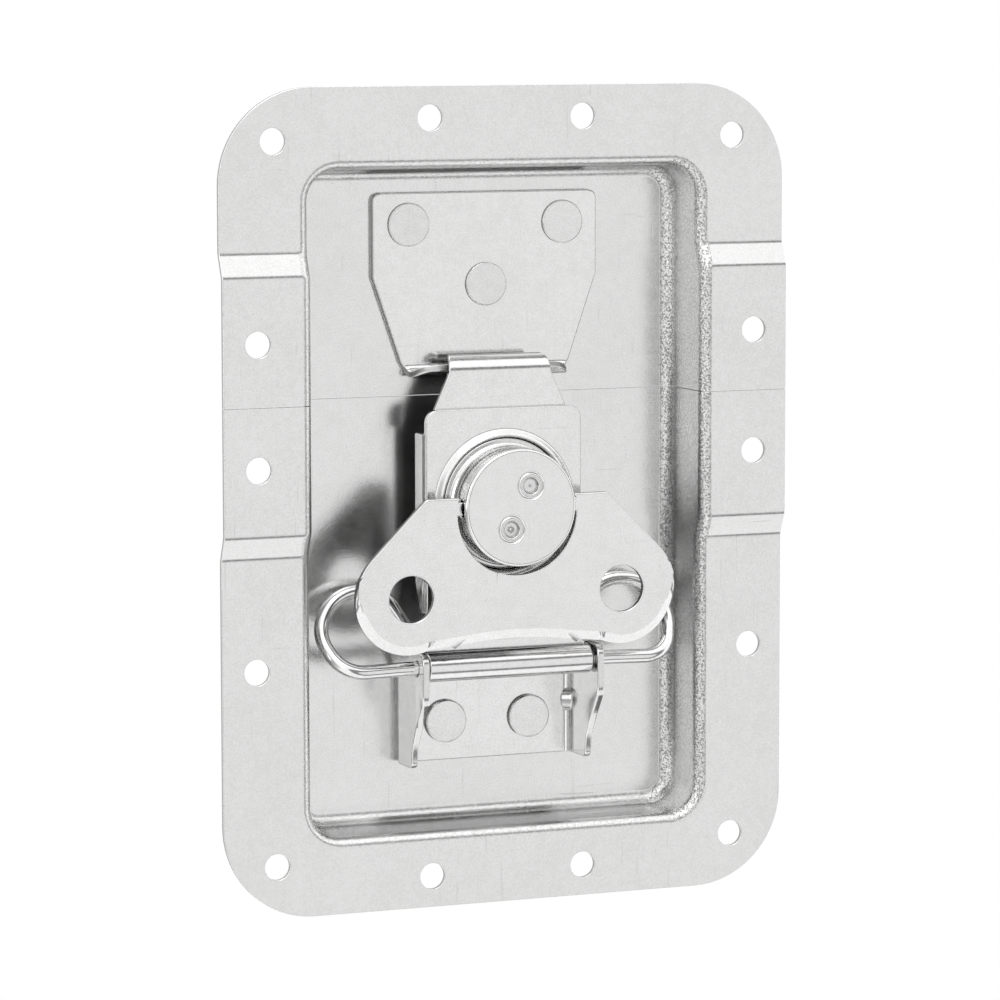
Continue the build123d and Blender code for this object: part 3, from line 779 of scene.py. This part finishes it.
# ---------------------------------------------------------------- the pieces
edge_of = {  # width of the broken edges, mm
    "upper_dish": 0.2, "lower_dish": 0.2, "base_bracket": 0.3,
    "link_plate": 0.3, "hook_plate": 0.35, "cam_drum": 0.2, "drum_cap": 0.15,
    "cam_washer": 0.2, "butterfly_wing": 0.3,
}
for node, edge in edge_of.items():
    piece = broken_edges(node, edge * mm)
    if slot_of[node] == "zinc_drawn":
        mark_drawn_and_shade(piece)
keeper_sheet_form()
for node in ("keeper_rivet_left", "keeper_rivet_right", "keeper_rivet_lower"):
    rivet_crown(node, *keeper_crown)
for node in ("bracket_rivet_left", "bracket_rivet_right"):
    rivet_crown(node, *bracket_crown)
dished_rivet("cap_rivet_upper", 0.0)
dished_rivet("cap_rivet_lower", 0.1)
for side in (-1, 1):
    gusset_ridge(side)
for node in nodes:
    nodes[node].data.materials.clear()
    nodes[node].data.materials.append(finishes[slot_of[node]])


# ---------------------------------------------------------------- floor, light and surroundings
def add_floor():
    """Floor under the object: white to the camera, clear to mirror rays, else a pale diffuse."""
    size = 3.0
    low = cad_box[0][2] - 0.5 * mm
    corners = [(-size, -size, low), (size, -size, low), (size, size, low), (-size, size, low)]
    mesh = bpy.data.meshes.new("floor")
    mesh.from_pydata(corners, [], [(0, 1, 2, 3)])
    floor = bpy.data.objects.new("floor", mesh)
    bpy.context.scene.collection.objects.link(floor)
    material = bpy.data.materials.new("floor")
    g = Graph(material)
    ray = g.node("ShaderNodeLightPath", {}, out="Is Camera Ray")
    mirrored = g.node("ShaderNodeLightPath", {}, out="Is Glossy Ray")
    pale = g.node("ShaderNodeBsdfDiffuse", {}, (0.9, 0.9, 0.9, 1.0))
    clear = g.node("ShaderNodeBsdfTransparent", {})
    white = g.node("ShaderNodeEmission", {}, (1.0, 1.0, 1.0, 1.0), 1.0)
    unseen = g.node("ShaderNodeMixShader", {}, mirrored, pale, clear)
    g.finish(g.node("ShaderNodeMixShader", {}, ray, unseen, white))
    mesh.materials.append(material)


def add_lamp(name, place, size, power):
    """Soft box at place, turned to the middle of the object."""
    data = bpy.data.lights.new(name, "AREA")
    data.shape = "RECTANGLE"
    data.size, data.size_y = size
    data.energy = power
    lamp = bpy.data.objects.new(name, data)
    place = np.array(place, float)
    back = place / np.linalg.norm(place)
    right = np.cross([0, 0, 1], back)
    right /= np.linalg.norm(right)
    matrix = np.eye(4)
    matrix[:3, :3] = np.stack([right, np.cross(back, right), back], axis=1)
    matrix[:3, 3] = place
    lamp.matrix_world = Matrix(matrix)
    bpy.context.scene.collection.objects.link(lamp)


def add_world():
    """White room with a soft panel in front of the plates and a dim gap round the panel."""
    world = bpy.data.worlds.new("studio")
    bpy.context.scene.world = world
    g = Graph(world)
    ray = g.node("ShaderNodeLightPath", {}, out="Is Camera Ray")
    towards = g.node("ShaderNodeTexCoord", {}, out="Generated")
    panel = (math.sin(panel_turn), -math.cos(panel_turn), panel_drop)
    off = g.node("ShaderNodeVectorMath", {"operation": "DOT_PRODUCT"}, towards, panel, out="Value")
    rise = g.node("ShaderNodeSeparateXYZ", {}, towards, out="Z")
    inside = off.between(math.cos(panel_edge + panel_soft), math.cos(panel_edge))
    outside = 1 - off.between(math.cos(gap_edge + panel_soft), math.cos(gap_edge))
    side = (math.sin(shade_turn), -math.cos(shade_turn), 0.0)
    near = g.node("ShaderNodeVectorMath", {"operation": "DOT_PRODUCT"}, towards, side, out="Value")
    shade = near.between(math.cos(shade_outer), math.cos(shade_inner)) * shade_depth
    room = (room_level + rise * room_rise) * (1 - shade)
    level = inside * panel_level + (1 - inside) * (gap_level + outside * (room - gap_level))
    lit = g.node("ShaderNodeBackground", {}, (1.0, 1.0, 1.0, 1.0), level)
    white = g.node("ShaderNodeBackground", {}, (1.0, 1.0, 1.0, 1.0), 1.0)
    g.finish(g.node("ShaderNodeMixShader", {}, ray, lit, white), "ShaderNodeOutputWorld")


add_camera()
add_floor()
add_world()
add_lamp("top box", (-0.3, -0.9, 1.8), (1.2, 0.8), 6.0)
add_lamp("left box", (-1.8, -0.5, 0.4), (0.6, 1.2), 5.0)
bpy.context.scene.view_settings.view_transform = "Standard"
